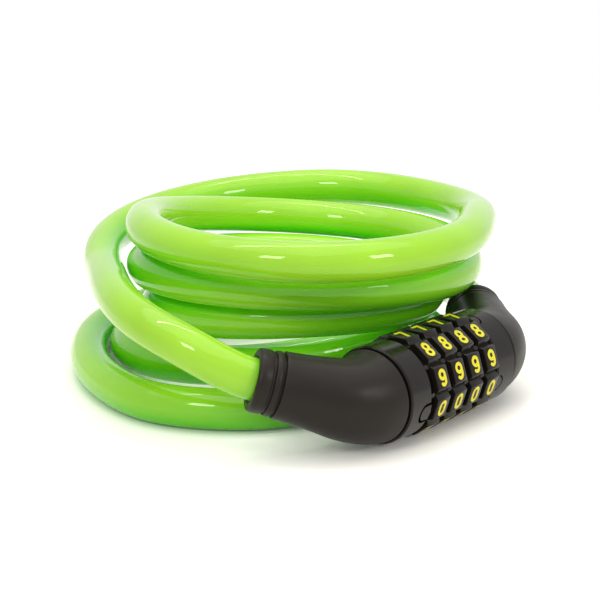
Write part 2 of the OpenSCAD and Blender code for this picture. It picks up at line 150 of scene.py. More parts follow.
# ---- the cable's route, in metres and degrees ----
COIL_CENTRE = (0.0179, 0.0537)
COIL_START = 129.0
LOOP_R = (0.0595, 0.0795, 0.0475, 0.0575, 0.0475, 0.062, 0.044, 0.043, 0.0478, 0.0535,
          0.0335, 0.0345, 0.044, 0.0415, 0.0245, 0.027, 0.0529, 0.054, 0.036)
LOOP_Z = (0.0315, 0.0385, 0.044, 0.0465, 0.0445, 0.032, 0.0315, 0.0353, 0.032, 0.0226,
          0.023, 0.0255, 0.02, 0.012, 0.0135, 0.012, 0.008, 0.007, 0.0055)
BULGES = {1: -0.0018, 5: 0.0005, 8: -0.0007}
PLUG_POINTS = ((-0.0588, 0.0312, 0.0282), (-0.0582, 0.0488, 0.0324), (-0.0461, 0.0694, 0.0334))
BARREL_POINTS = (
    (0.0229, 0.0202, 0.0055), (0.0099, 0.0197, 0.0055), (-0.0036, 0.0197, 0.0055), (-0.0201, 0.0232, 0.0055),
    (-0.0362, 0.0349, 0.0055), (-0.0456, 0.0571, 0.0055), (-0.039, 0.0812, 0.0055), (-0.0231, 0.1035, 0.0055),
    (-0.0003, 0.1202, 0.0055), (0.0294, 0.1267, 0.0055), (0.0569, 0.1142, 0.006), (0.077, 0.0922, 0.0085),
    (0.0816, 0.0642, 0.013), (0.0728, 0.0404, 0.016))


class CableSettings(bpy.types.PropertyGroup):
    diameter: bpy.props.FloatProperty(
        name="Diameter", description="Outer diameter of the jacket", default=CABLE_D * MM, unit="LENGTH")
    sides: bpy.props.IntProperty(
        name="Sides", description="Points around the jacket's surface", default=40, min=12)
    ring_step: bpy.props.FloatProperty(
        name="Ring Step", description="Distance along the cable between rings", default=0.002, unit="LENGTH")
    colour: bpy.props.FloatVectorProperty(
        name="Jacket Colour", description="Colour of the soft jacket", subtype="COLOR", size=3,
        default=(0.42, 0.81, 0.035))


class LockSettings(bpy.types.PropertyGroup):
    elbow_colour: bpy.props.FloatVectorProperty(
        name="End Cap Colour", description="Colour of the matte end caps", subtype="COLOR", size=3,
        default=(0.0135, 0.0097, 0.0078))
    gloss_colour: bpy.props.FloatVectorProperty(
        name="Dial Colour", description="Colour of the glossy dials and rings", subtype="COLOR", size=3,
        default=(0.0125, 0.0095, 0.008))
    number_colour: bpy.props.FloatVectorProperty(
        name="Number Colour", description="Colour of the numbers' paint", subtype="COLOR", size=3,
        default=(0.98, 0.86, 0.02))
    number_height: bpy.props.FloatProperty(
        name="Number Height", description="Height of a number on its face", default=0.0047, unit="LENGTH")
    number_width: bpy.props.FloatProperty(
        name="Number Width", description="Width of a number", default=0.00315, unit="LENGTH")
    number_line: bpy.props.FloatProperty(
        name="Number Line", description="Width of the painted line", default=0.00092, unit="LENGTH")


class StageSettings(bpy.types.PropertyGroup):
    camera_place: bpy.props.FloatVectorProperty(
        name="Camera Place", description="Where the camera stands", subtype="TRANSLATION", size=3,
        default=(-0.3974, -0.2787, 0.1637))
    camera_aim: bpy.props.FloatVectorProperty(
        name="Camera Aim", description="The point that the camera looks at", subtype="TRANSLATION", size=3,
        default=(0.0773, 0.1057, 0.0))
    lens: bpy.props.FloatProperty(
        name="Lens", description="Focal length on a 36 mm sensor, in millimetres", default=114.0)
    world_strength: bpy.props.FloatProperty(
        name="Surround", description="Strength of the even light from all round", default=0.3)


# ---- mesh helpers ----
def mesh_object(name, vertices, faces, uv=None):
    """A smooth mesh object from points and lists of corners; uv holds a pair for each face corner."""
    mesh = bpy.data.meshes.new(name)
    mesh.from_pydata(np.asarray(vertices, float).tolist(), [], [tuple(face) for face in faces])
    if uv is not None:
        mesh.uv_layers.new(name="UVMap").data.foreach_set("uv", uv.ravel())
    mesh.polygons.foreach_set("use_smooth", np.ones(len(mesh.polygons), bool))
    mesh.update()
    obj = bpy.data.objects.new(name, mesh)
    bpy.context.scene.collection.objects.link(obj)
    return obj


def grid_faces(rows, columns, close_rows=False, close_columns=False):
    """Quads between neighbours of a grid; a closed way runs on from its last line to its first."""
    i, j = np.meshgrid(np.arange(rows - (not close_rows)), np.arange(columns - (not close_columns)),
                       indexing="ij")
    i, j = i.ravel(), j.ravel()
    i2, j2 = (i + 1) % rows, (j + 1) % columns
    return np.stack([i * columns + j, i * columns + j2, i2 * columns + j2, i2 * columns + j], 1)


def unit(v):
    """Each row of v at length one."""
    return v / np.linalg.norm(v, axis=-1, keepdims=True)


def circles(centre, u, w, radius, sides):
    """Points of circles in the planes of u and w: centre + radius * (cos(angle) * u + sin(angle) * w)."""
    angle = np.linspace(0, 2 * np.pi, sides, endpoint=False)
    ring = np.cos(angle)[None, :, None] * u[:, None] + np.sin(angle)[None, :, None] * w[:, None]
    return (centre[:, None] + np.reshape(radius, (-1, 1, 1)) * ring).reshape(-1, 3)


def sharpen(obj, angle):
    """Smooth shading that breaks where two faces meet at more than the angle, in degrees."""
    obj.data.set_sharp_from_angle(angle=np.radians(angle))


# ---- curves ----
def smooth_through(values, u):
    """Catmull-Rom curve: the cubic between values whose slope at each is half the step across it."""
    values = np.asarray(values, float)
    values = values.reshape(len(values), -1)
    last = len(values) - 1
    i = np.clip(np.floor(u).astype(int), 0, last - 1)
    t = (u - i)[:, None]
    b, c = values[i], values[i + 1]
    a = np.where((i > 0)[:, None], values[np.maximum(i - 1, 0)], 2 * b - c)
    d = np.where((i < last - 1)[:, None], values[np.minimum(i + 2, last)], 2 * c - b)
    square = a - 2.5 * b + 2 * c - d / 2
    cube = 1.5 * b - a / 2 - 1.5 * c + d / 2
    return b + t / 2 * (c - a) + t**2 * square + t**3 * cube


def evenly(path, step):
    """The path sampled again at equal steps along its length."""
    along = np.concatenate([[0], np.cumsum(np.linalg.norm(np.diff(path, axis=0), axis=1))])
    marks = np.linspace(0, along[-1], int(round(along[-1] / step)) + 1)
    return np.stack([np.interp(marks, along, path[:, k]) for k in range(3)], 1)


def eased(path, width, keep):
    """The path with its inner points averaged over a bell-shaped window, three widths to each side.

    As many points as keep says stay as they are at each end, and the average comes in over two widths.
    """
    reach = int(3 * width)
    bell = np.exp(-0.5 * (np.arange(-reach, reach + 1) / width) ** 2)
    bell /= bell.sum()
    padded = np.concatenate([2 * path[0] - path[reach:0:-1], path, 2 * path[-1] - path[-2:-reach - 2:-1]])
    soft = np.stack([np.convolve(padded[:, k], bell, "valid") for k in range(3)], 1)
    n = len(path)
    part = np.clip((np.minimum(np.arange(n), np.arange(n)[::-1]) - keep) / (2.0 * width), 0, 1)[:, None]
    return path * (1 - part) + soft * part


def elbow_turn(end, a, b):
    """The elbow's own plane in the lock: a runs out along the axis, b sideways, tilted by its roll."""
    roll = np.radians(ELBOW_ROLL[end])
    return np.stack([SIDE[end] * a, b * np.cos(roll), b * np.sin(roll)], -1)


def elbow_line(end, s):
    """Centre line of an elbow at the lengths s, and its direction: a straight, an arc, and a straight."""
    s = np.asarray(s, float)
    q = np.clip(s - ELBOW_LEAD, 0, ELBOW_ARC) / ELBOW_BEND_R
    rest = np.maximum(s - ELBOW_LEAD - ELBOW_ARC, 0)
    a = np.minimum(s, ELBOW_LEAD) + ELBOW_BEND_R * np.sin(q) + rest * np.cos(q)
    b = ELBOW_BEND_R * (1 - np.cos(q)) + rest * np.sin(q)
    start = np.array([JOINT_X[end], 0, AXIS_Z])
    return start + elbow_turn(end, a, b), elbow_turn(end, np.cos(q), np.sin(q))


def mouth(end, out):
    """A point on the cable's line, the length out beyond the collar's rim, in metres."""
    place, way = elbow_line(end, np.array([ELBOW_LENGTH]))
    return (place[0] + out * way[0]) * MM


def coil_line(u):
    """The coil: radius and height pass smoothly through their values at quarter turns, as the angle falls.

    A quarter named in BULGES gains that height half-way along it, and nothing at its ends.
    """
    angle = np.radians(COIL_START - 90 * u)
    r, z = smooth_through(LOOP_R, u)[:, 0], smooth_through(LOOP_Z, u)[:, 0]
    for quarter, height in BULGES.items():
        t = np.clip(u - quarter, 0, 1)
        z = z + height * (4 * t * (1 - t)) ** 2
    return np.stack([COIL_CENTRE[0] + r * np.cos(angle), COIL_CENTRE[1] + r * np.sin(angle), z], 1)


def cable_line(step):
    """The whole cable from collar to collar at equal steps, and the point's number where the coil starts."""
    quarters = len(LOOP_R) - 1
    coil = coil_line(np.linspace(0, quarters, quarters * COIL_SAMPLES + 1))
    knots = coil_line(np.array([0, KNOT_STEP, quarters - KNOT_STEP, quarters]))
    seat, straight = -SEAT_DEPTH, CABLE_D - SEAT_DEPTH
    plug = [mouth("plug", seat), mouth("plug", straight), *PLUG_POINTS, knots[0], knots[1]]
    barrel = [knots[2], knots[3], *BARREL_POINTS, mouth("barrel", straight), mouth("barrel", seat)]
    first, last = (smooth_through(way, np.linspace(1, len(way) - 2, LEAD_SAMPLES * (len(way) - 3) + 1))
                   for way in (plug, barrel))
    whole = np.concatenate([[plug[0]], first, coil[1:-1], last, [barrel[-1]]])
    line = eased(evenly(whole, step), EASE_RINGS, int(SEAT_DEPTH * MM / step))
    start = int(np.argmin(np.linalg.norm(line[: len(line) // 4] - coil[0], axis=1)))
    return line, start


def carried_frames(line):
    """Directions along a line, and two cross directions that are carried along it with the least turning."""
    t = unit(np.gradient(line, axis=0))
    u = np.empty_like(t)
    u[0] = unit(np.cross(t[0], [0, 0, 1.0]))
    for i in range(1, len(t)):
        u[i] = u[i - 1] - np.dot(u[i - 1], t[i]) * t[i]
        u[i] /= np.linalg.norm(u[i])
    return t, u, np.cross(u, t)


def tube(name, line, frames, radius, sides, start_at):
    """A round tube: a circle of the radius carried along the line, closed at both ends.

    Its map holds millimetres: U runs round the tube, and V along it from the length start_at.
    """
    points = circles(line, *frames, radius, sides)
    faces = grid_faces(len(line), sides, close_columns=True)[:, ::-1]
    along = start_at + np.concatenate([[0], np.cumsum(np.linalg.norm(np.diff(line, axis=0), axis=1))])
    row, column = faces // sides, faces % sides
    around = np.where((column == 0) & (column.max(axis=1, keepdims=True) == sides - 1), sides, column)
    uv = np.stack([around * (2 * np.pi * radius / sides), along[row]], -1) / MM
    ends = [list(range(sides)), list(range((len(line) - 1) * sides, len(line) * sides))[::-1]]
    mesh_uv = np.concatenate([uv.reshape(-1, 2), np.zeros((2 * sides, 2))])
    obj = mesh_object(name, points, faces.tolist() + ends, mesh_uv)
    sharpen(obj, angle=60)
    return obj


# ---- materials ----
# A deeper green painted into the jacket where loops lie close: painted shade.
PAINTED_SHADE_GREEN = (0.18, 0.79, 0.014, 1)
FLOOR_COLOUR = (0.94, 0.9, 0.875, 1)
WHITE = (1, 1, 1, 1)
STEEL = (0.56, 0.57, 0.58)
BRASS = (0.78, 0.56, 0.24)
MOULDED = {"IOR": 1.5, "Specular IOR Level": 0.22}
STAGE_CENTRE = (0.02, 0.05, 0.0)
OPENNESS_RAYS = 4


class Nodes:
    """Short calls that add nodes to a material and join them."""

    def __init__(self, name):
        self.material = bpy.data.materials.new(name)
        self.material.use_nodes = True
        self.tree = self.material.node_tree
        self.shader = self.tree.nodes["Principled BSDF"]
        self.output = self.tree.nodes["Material Output"]

    def give(self, socket, value):
        """Joins an input to another node's output, or sets its value."""
        if isinstance(value, bpy.types.NodeSocket):
            self.tree.links.new(value, socket)
        else:
            socket.default_value = value

    def add(self, kind, inputs=None, **settings):
        """A new node with its settings, and its inputs by name or number."""
        node = self.tree.nodes.new(kind)
        for key, value in settings.items():
            setattr(node, key, value)
        for key, value in (inputs or {}).items():
            self.give(node.inputs[key], value)
        return node

    def shade(self, inputs):
        """Gives the material's shader its inputs by name."""
        for key, value in inputs.items():
            self.give(self.shader.inputs[key], value)

    def place(self):
        """Object coordinates, in metres."""
        return self.add("ShaderNodeTexCoord").outputs["Object"]

    def stretched(self, vector, scale):
        """Coordinates scaled along each axis, so that a noise on them draws out into lines."""
        return self.add("ShaderNodeMapping", {"Vector": vector, "Scale": scale}).outputs["Vector"]

    def noise(self, scale, detail, roughness=0.5, vector=None):
        """Noise from 0 to 1, on object coordinates or on the vector."""
        inputs = {"Scale": scale, "Detail": detail, "Roughness": roughness}
        inputs["Vector"] = vector if vector is not None else self.place()
        return self.add("ShaderNodeTexNoise", inputs).outputs["Fac"]

    def ramp(self, factor, low, high, at_low=0.0, at_high=1.0):
        """A number that goes from at_low to at_high as the factor goes from low to high."""
        inputs = {"Value": factor, "From Min": low, "From Max": high, "To Min": at_low, "To Max": at_high}
        return self.add("ShaderNodeMapRange", inputs).outputs["Result"]

    def mix(self, factor, a, b):
        """The colour a where the factor is 0, and b where it is 1."""
        return self.add("ShaderNodeMix", {0: factor, 6: a, 7: b}, data_type="RGBA").outputs[2]

    def product(self, a, b):
        """Two numbers multiplied."""
        return self.add("ShaderNodeMath", {0: a, 1: b}, operation="MULTIPLY").outputs[0]

    def distance_from(self, point):
        """How far a surface's place is from the point."""
        node = self.add("ShaderNodeVectorMath", {0: self.place(), 1: point}, operation="DISTANCE")
        return node.outputs["Value"]

    def openness(self, reach):
        """1 where nothing stands within reach of the surface, falling towards 0 in a crevice."""
        node = self.add("ShaderNodeAmbientOcclusion", {"Distance": reach}, samples=OPENNESS_RAYS)
        return node.outputs["AO"]

    def bump(self, height, distance, strength, normal=None):
        """A normal that tilts with a height of the distance, on top of another normal where one is given."""
        inputs = {"Height": height, "Distance": distance, "Strength": strength}
        if normal is not None:
            inputs["Normal"] = normal
        return self.add("ShaderNodeBump", inputs).outputs["Normal"]


def rgba(colour, share=1.0):
    """A colour of the settings with its alpha, made darker or lighter by a share."""
    return (colour[0] * share, colour[1] * share, colour[2] * share, 1.0)


def jacket_material():
    """Soft glossy jacket: its tone drifts, and it turns a deeper green where loops lie close, as painted
    shade.

    Faint draw lines run along its length, over fine dimples, and its gloss varies as handling leaves it.
    """
    colour = bpy.context.scene.cable_lock_cable.colour
    n = Nodes("Glossy Jacket")
    drift = n.ramp(n.noise(38.0, detail=2.0), low=0.3, high=0.7)
    tone = n.mix(drift, rgba(colour, 0.93), rgba(colour, 1.06))
    # Painted shade: ambient occlusion blends the colour towards a deeper green where loops lie close.
    painted_shade_openness = n.ramp(n.openness(0.025), low=0.25, high=0.88)
    uv = n.add("ShaderNodeUVMap", uv_map="UVMap").outputs["UV"]
    lines = n.noise(1.6, detail=3.0, roughness=0.55, vector=n.stretched(uv, (1.1, 0.03, 1.0)))
    lined = n.bump(lines, distance=0.000003, strength=0.25)
    dimples = n.noise(1500.0, detail=2.0)
    handled = n.noise(90.0, detail=4.0)
    n.shade({"Base Color": n.mix(painted_shade_openness, PAINTED_SHADE_GREEN, tone),
             "Normal": n.bump(dimples, distance=0.000002, strength=0.3, normal=lined),
             "Roughness": n.ramp(handled, low=0.35, high=0.75, at_low=0.045, at_high=0.08),
             "Subsurface Weight": 0.12, "Subsurface Radius": (0.6, 1.0, 0.2), "Subsurface Scale": 0.0015,
             "IOR": 1.45, "Specular IOR Level": 0.5})
    return n.material


def cap_material():
    """Matte moulded plastic: a fine sparked grain, with a slight drift of tone and of sheen."""
    colour = bpy.context.scene.cable_lock_body.elbow_colour
    n = Nodes("Matte Cap Plastic")
    drift = n.noise(60.0, detail=3.0)
    grain = n.noise(5200.0, detail=3.0, roughness=0.6)
    sheen = n.noise(240.0, detail=3.0)
    n.shade({"Base Color": n.mix(drift, rgba(colour, 0.85), rgba(colour, 1.2)),
             "Normal": n.bump(grain, distance=0.00002, strength=0.5),
             "Roughness": n.ramp(sheen, low=0.3, high=0.7, at_low=0.36, at_high=0.44), **MOULDED})
    return n.material


def gloss_material(name, roughness):
    """Glossy moulded plastic: a faint waviness, and a haze from handling that changes its tone and gloss."""
    colour = bpy.context.scene.cable_lock_body.gloss_colour
    n = Nodes(name)
    wave = n.noise(420.0, detail=2.0)
    haze = n.noise(170.0, detail=4.0)
    n.shade({"Base Color": n.mix(haze, rgba(colour, 0.8), rgba(colour, 1.3)),
             "Normal": n.bump(wave, distance=0.00002, strength=0.25),
             "Roughness": n.ramp(haze, low=0.3, high=0.75, at_low=roughness, at_high=roughness + 0.1),
             **MOULDED})
    return n.material


def paint_material():
    """Number paint: even colour with a slightly grainy, satin surface."""
    colour = bpy.context.scene.cable_lock_body.number_colour
    n = Nodes("Number Paint")
    tone = n.noise(900.0, detail=3.0)
    grain = n.noise(6000.0, detail=2.0)
    n.shade({"Base Color": n.mix(tone, rgba(colour, 0.94), rgba(colour, 1.03)),
             "Normal": n.bump(grain, distance=0.00001, strength=0.4), "Roughness": 0.42})
    return n.material


def metal_material(name, colour, roughness):
    """Turned metal: fine tool lines round the lock's axis, with a drift of roughness."""
    n = Nodes(name)
    turned = n.noise(1.0, detail=2.0, vector=n.stretched(n.place(), (9000.0, 60.0, 60.0)))
    n.shade({"Base Color": n.mix(turned, rgba(colour, 0.86), rgba(colour)),
             "Normal": n.bump(turned, distance=0.00001, strength=0.5),
             "Roughness": n.ramp(turned, low=0.2, high=0.8, at_low=roughness, at_high=roughness + 0.12),
             "Metallic": 1.0})
    return n.material


def seen_rays(tree):
    """1 for the rays of the camera, of reflections and of glass, and 0 for the rays that light surfaces."""
    rays = tree.nodes.new("ShaderNodeLightPath")
    total = rays.outputs["Is Camera Ray"]
    for name in ("Is Glossy Ray", "Is Transmission Ray"):
        larger = tree.nodes.new("ShaderNodeMath")
        larger.operation = "MAXIMUM"
        tree.links.new(total, larger.inputs[0])
        tree.links.new(rays.outputs[name], larger.inputs[1])
        total = larger.outputs[0]
    return total


def floor_material():
    """A pale floor that is seen to glow, less beside what stands on it and not at all inside the coil.

    These dips in the glow are painted shadow, which keeps the shadow near the lock. Further out, the floor
    that is seen turns to plain white.
    """
    n = Nodes("Pale Floor")
    seen = seen_rays(n.tree)
    # Painted shadow: the glow dims where ambient occlusion finds something standing close.
    painted_shade_openness = n.ramp(n.openness(0.016), low=0.08, high=0.8, at_low=0.04, at_high=0.48)
    # Painted shade: the glow is gone inside the coil's hole.
    outside_painted_coil_shade = n.ramp(n.distance_from((*COIL_CENTRE, 0.0)), low=0.028, high=0.045)
    n.shade({"Base Color": FLOOR_COLOUR, "Roughness": 0.6, "Specular IOR Level": 0.2,
             "Emission Color": WHITE, "Emission Strength": n.product(n.product(seen, outside_painted_coil_shade), painted_shade_openness)})
    far = n.ramp(n.distance_from(STAGE_CENTRE), low=0.16, high=0.5)
    white = n.add("ShaderNodeEmission", {"Strength": 1.0})
    lit, plain = n.shader.outputs[0], white.outputs[0]
    mixed = n.add("ShaderNodeMixShader", {"Fac": n.product(seen, far), 1: lit, 2: plain})
    n.give(n.output.inputs["Surface"], mixed.outputs[0])
    return n.material


def dress(node, material):
    """Gives a node of the model one material."""
    obj = bpy.data.objects[node]
    if not obj.material_slots:
        obj.data.materials.append(material)
    for slot in obj.material_slots:
        slot.material = material


def kept(name, make):
    """The material of that name, made the first time that it is asked for."""
    return bpy.data.materials.get(name) or make()


def facing(place, aim):
    """The turn that makes a camera or a lamp at the place face the aim."""
    return (Vector(aim) - Vector(place)).to_track_quat("-Z", "Y").to_euler()


# ---- operators ----
class CABLELOCK_OT_camera(bpy.types.Operator):
    """Place the camera"""

    bl_idname = "cable_lock.camera"
    bl_label = "Camera"

    def execute(self, context):
        stage = context.scene.cable_lock_stage
        data = bpy.data.cameras.new("camera")
        data.sensor_width = 36.0
        data.lens = stage.lens
        data.clip_start = 0.01
        data.clip_end = 30.0
        obj = bpy.data.objects.new("camera", data)
        context.scene.collection.objects.link(obj)
        obj.location = stage.camera_place
        obj.rotation_euler = facing(stage.camera_place, stage.camera_aim)
        context.scene.camera = obj
        return {"FINISHED"}


class CABLELOCK_OT_cable(bpy.types.Operator):
    """Lay the jacket from the plug through the coil to the barrel"""

    bl_idname = "cable_lock.cable"
    bl_label = "Cable"

    def execute(self, context):
        sizes = context.scene.cable_lock_cable
        line, start = cable_line(sizes.ring_step)
        _, u, w = carried_frames(line)
        radius = sizes.diameter / 2
        pieces = (("plug_cable", slice(0, start + 1), ("plug_lead",)),
                  ("coil_cable", slice(start, len(line)), ("cable_coil", "barrel_lead")))
        for name, part, nodes in pieces:
            own = line[part]
            piece = tube(name, own, (u[part], w[part]), radius, sizes.sides, part.start * sizes.ring_step)
            piece.data.materials.append(kept("Glossy Jacket", jacket_material))
            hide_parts(*nodes)
            if name == "plug_cable":
                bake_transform(piece)
            else:
                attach(piece, "lock")
        return {"FINISHED"}


def edge(place, radius, way, steps):
    """The points of a rounded edge: each is a step along the way and a drop under the radius."""
    return [(place + way * along, radius - drop) for along, drop in steps]


def cap_profile():
    """An end cap's outline, as lengths along its line and radii: outside, rim, seat and inside.

    The outside falls from the lock to the collar as a power of the way left to the first groove.
    """
    end = ELBOW_LENGTH
    band = end - COLLAR_BAND
    groove = band - 2 * COLLAR_GROOVE - COLLAR_MIDDLE
    seat_end = end - SEAT_DEPTH
    step_r, low = ELBOW_R - CAP_STEP, COLLAR_R - COLLAR_GROOVE_DEPTH
    body_r, middle_r = COLLAR_R + 2 * COLLAR_GROWTH, COLLAR_R + COLLAR_GROWTH
    taper = np.linspace(TAPER_START, groove - TAPER_STOP, CAP_RINGS)
    taper_r = body_r + (ELBOW_R - body_r) * np.power(1 - taper / groove, TAPER_POWER)
    turn = np.radians(np.linspace(0, RIM_ROUND_ANGLE, RIM_ROUND_POINTS))
    rim = end - RIM_ROUND_LENGTH + RIM_ROUND_LENGTH * np.sin(turn)
    rim_r = COLLAR_R - RIM_ROUND_DEPTH + RIM_ROUND_DEPTH * np.cos(turn)
    return np.array([
        (0.0, CAP_BORE_R), (0.0, step_r), (CAP_EDGE[0][0], step_r), *edge(0.0, ELBOW_R, 1, CAP_EDGE),
        *zip(taper, taper_r), *edge(groove, body_r, -1, BODY_EDGE),
        (groove, low), (groove + COLLAR_GROOVE, low), *edge(groove + COLLAR_GROOVE, middle_r, 1, BAND_EDGE),
        *edge(band - COLLAR_GROOVE, middle_r, -1, MIDDLE_EDGE), (band - COLLAR_GROOVE, low), (band, low),
        *edge(band, COLLAR_R, 1, BAND_EDGE), *zip(rim, rim_r),
        *((end - inwards, SEAT_R + wider) for inwards, wider in SEAT_MOUTH),
        (seat_end, SEAT_R), (seat_end, CAP_BORE_R),
        *((s, CAP_BORE_R) for s in np.linspace(seat_end - CAP_BORE_STOP, CAP_BORE_START, CAP_BORE_RINGS))])


def end_cap(end):
    """An end cap: circles round the elbow's line, whose radius follows the profile."""
    profile = cap_profile()
    centre, way = elbow_line(end, profile[:, 0])
    u = unit(np.cross(way, [0, 0, 1.0]))
    points = circles(centre, u, np.cross(u, way), profile[:, 1], CAP_SIDES) * MM
    return points, grid_faces(len(profile), CAP_SIDES, close_rows=True, close_columns=True)[:, ::-1]


class CABLELOCK_OT_caps(bpy.types.Operator):
    """Mould the two end caps"""

    bl_idname = "cable_lock.caps"
    bl_label = "End Caps"

    def execute(self, context):
        for end, body in (("plug", "plug"), ("barrel", "lock")):
            points, faces = end_cap(end)
            piece = mesh_object(end + "_cap", points, faces.tolist())
            sharpen(piece, angle=38)
            piece.data.materials.append(kept("Matte Cap Plastic", cap_material))
            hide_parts(end + "_elbow")
            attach(piece, body)
        return {"FINISHED"}


def half_outline(level, width, rim):
    """Half of one number's stretch of a dial, from its middle to the valley, as sideways and outward places.

    A flat at the level ends in a cut corner or, when it lies below the rim, in an upright wall. A straight
    flank or the rim's own arc leads on to the valley.
    """
    half = np.radians(NUMBER_STEP / 2)
    valley = (rim or VALLEY_R + VALLEY_RISE) * np.array([np.sin(half), np.cos(half)])
    flat = [(share * (width - FACE_CORNER), level) for share in (0, 0.25, 0.5, 0.75, 1)]
    if rim:
        start = np.arcsin(min(width / rim, np.sin(half)))
        arc = start + (half - start) * np.array([0, 0.4, 0.75])
        return np.array([*flat, (width, level), *zip(rim * np.sin(arc), rim * np.cos(arc)), tuple(valley)])
    corner = np.array([width, level])
    length = np.linalg.norm(valley - corner)
    along = (valley - corner) / length
    flank = [corner + along * part for part in (FLANK_START, 0.5 * length, length - FLANK_STOP)]
    return np.array([*flat, corner - FACE_CORNER_CUT, *flank, valley])


def over_rim(half):
    """The half outline with every place that is under the rim lifted on to the rim's circle."""
    under = np.hypot(*half.T) < RIM_R - 1e-6
    side = np.where(under, RIM_DRAWN_IN, 1) * half[:, 0]
    return np.column_stack([side, np.where(under, np.sqrt(RIM_R**2 - side**2), half[:, 1])])


def all_round(half):
    """A dial's whole outline: the half outline and its mirror image, turned to each number's place."""
    mirrored = half[:0:-1] * [-1, 1]
    stretch = np.concatenate([mirrored, half[:-1]])
    turns = np.radians(np.arange(NUMBER_COUNT) * NUMBER_STEP)[:, None]
    side, out = stretch[:, 0][None], stretch[:, 1][None]
    y = out * np.sin(turns) + side * np.cos(turns)
    z = out * np.cos(turns) - side * np.sin(turns)
    return np.stack([-y.ravel(), z.ravel()], 1)


def dial_surface(index):
    """A dial: outlines in a row along the axis, over the pocketed rim, the faces, the end and the bore."""
    width = DIAL_PITCH - DIAL_GAP
    pocket_end = RIM_WIDTH - POCKET_LEDGE
    floor = RIM_R - POCKET_DEPTH
    face_half = FACE_WIDTH / 2

    def face(drop):
        return half_outline(FACE_HEIGHT - drop, face_half - FACE_EDGE_SLOPE * drop, None)

    def pocket(along, rim):
        slope = (POCKET_WIDTH / 2 - face_half) / pocket_end
        return half_outline(floor, POCKET_WIDTH / 2 - slope * along, rim)

    plain = half_outline(FACE_HEIGHT, face_half, None)
    round_rim = over_rim(pocket(pocket_end, RIM_R))
    bore, end = (plain * (radius / np.hypot(*plain.T))[:, None] for radius in (DIAL_BORE_R, DIAL_END_R))
    section = [(0, bore), (0, pocket(0, RIM_R - RIM_EDGE)), (RIM_EDGE, pocket(RIM_EDGE, RIM_R)),
               (pocket_end, pocket(pocket_end, RIM_R)), (pocket_end, round_rim), (RIM_WIDTH, round_rim),
               (RIM_WIDTH, over_rim(face(FACE_EDGE))),
               (RIM_WIDTH + FACE_EDGE_MIDDLE, over_rim(face(FACE_EDGE_MIDDLE))),
               (RIM_WIDTH + FACE_EDGE, face(0)), (width - FACE_EDGE, face(0)),
               (width - FACE_EDGE_MIDDLE, face(FACE_EDGE_MIDDLE)), (width, face(FACE_EDGE)),
               (width, end), (width, bore)]
    start = DIALS_START + index * DIAL_PITCH + DIAL_GAP / 2
    rows = []
    for along, half in section:
        outline = all_round(half)
        rows.append(np.column_stack([np.full(len(outline), start + along), outline + [0, AXIS_Z]]))
    return np.concatenate(rows) * MM, grid_faces(len(rows), len(rows[0]), close_rows=True, close_columns=True)


class CABLELOCK_OT_dials(bpy.types.Operator):
    """Mould the four dials, and dress the two rings and the core's cap in gloss plastic"""

    bl_idname = "cable_lock.dials"
    bl_label = "Dials"

    def execute(self, context):
        gloss = kept("Gloss Dial Plastic", lambda: gloss_material("Gloss Dial Plastic", roughness=0.16))
        for index in range(DIAL_COUNT):
            points, faces = dial_surface(index)
            piece = mesh_object(f"dial_body_{index + 1}", points, faces.tolist())
            sharpen(piece, angle=30)
            piece.data.materials.append(gloss)
            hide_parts(f"dial_{index + 1}")
            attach(piece, f"dial_{index + 1}")
        ring = kept("Gloss Ring Plastic", lambda: gloss_material("Gloss Ring Plastic", roughness=0.13))
        for node in ("plug_ring", "reset_ring", "core_cap"):
            dress(node, ring)
        return {"FINISHED"}


# ---- numbers ----
def bow(x, y, rx, ry, start, end):
    """Points along a stretch of an ellipse, from one angle to another in degrees."""
    a = np.radians(np.linspace(start, end, max(int(abs(end - start) / CURVE_STEP), 2) + 1))
    return np.stack([x + rx * np.cos(a), y + ry * np.sin(a)], 1)


def number_strokes(number):
    """The middle lines of a number's strokes, one wide and two high from its centre, with round corners."""
    loop_high, loop_low = bow(0, 0.5, 0.86, 0.5, 0, 360), bow(0, -0.5, 1.0, 0.5, 0, 360)
    strokes = {
        0: [np.concatenate([bow(0, 0.36, 0.92, 0.64, 0, 180), bow(0, -0.36, 0.92, 0.64, 180, 360),
                            [[0.92, 0.36]]])],
        1: [[(0.1, -1), (0.1, 1)], [(0.1, 1), (-0.6, 0.62)]],
        2: [bow(0, 0.45, 0.95, 0.55, 165, -35), [(0.78, 0.13), (-0.9, -1)], [(-0.9, -1), (0.95, -1)]],
        3: [bow(-0.05, 0.5, 0.88, 0.5, 150, -90), bow(-0.05, -0.5, 1.0, 0.5, 90, -150)],
        4: [[(0.4, -1), (0.4, 1)], [(0.4, 1), (-0.95, -0.42)], [(-0.95, -0.42), (1.0, -0.42)]],
        5: [[(0.8, 1), (-0.7, 1)], [(-0.7, 1), (-0.8, 0.1)], bow(-0.02, -0.38, 0.95, 0.62, 128, -145)],
        7: [[(-0.95, 1), (0.95, 1)], [(0.95, 1), (-0.3, -1)]],
        8: [loop_high, loop_low],
        9: [bow(0, 0.42, 0.95, 0.58, 0, 360), [(0.95, 0.42), (0.95, -0.3)],
            bow(0.0, -0.3, 0.95, 0.7, 0, -128)],
    }
    if number == 6:
        return [-np.asarray(s) for s in strokes[9]]
    return [np.asarray(s, float) for s in strokes[number]]


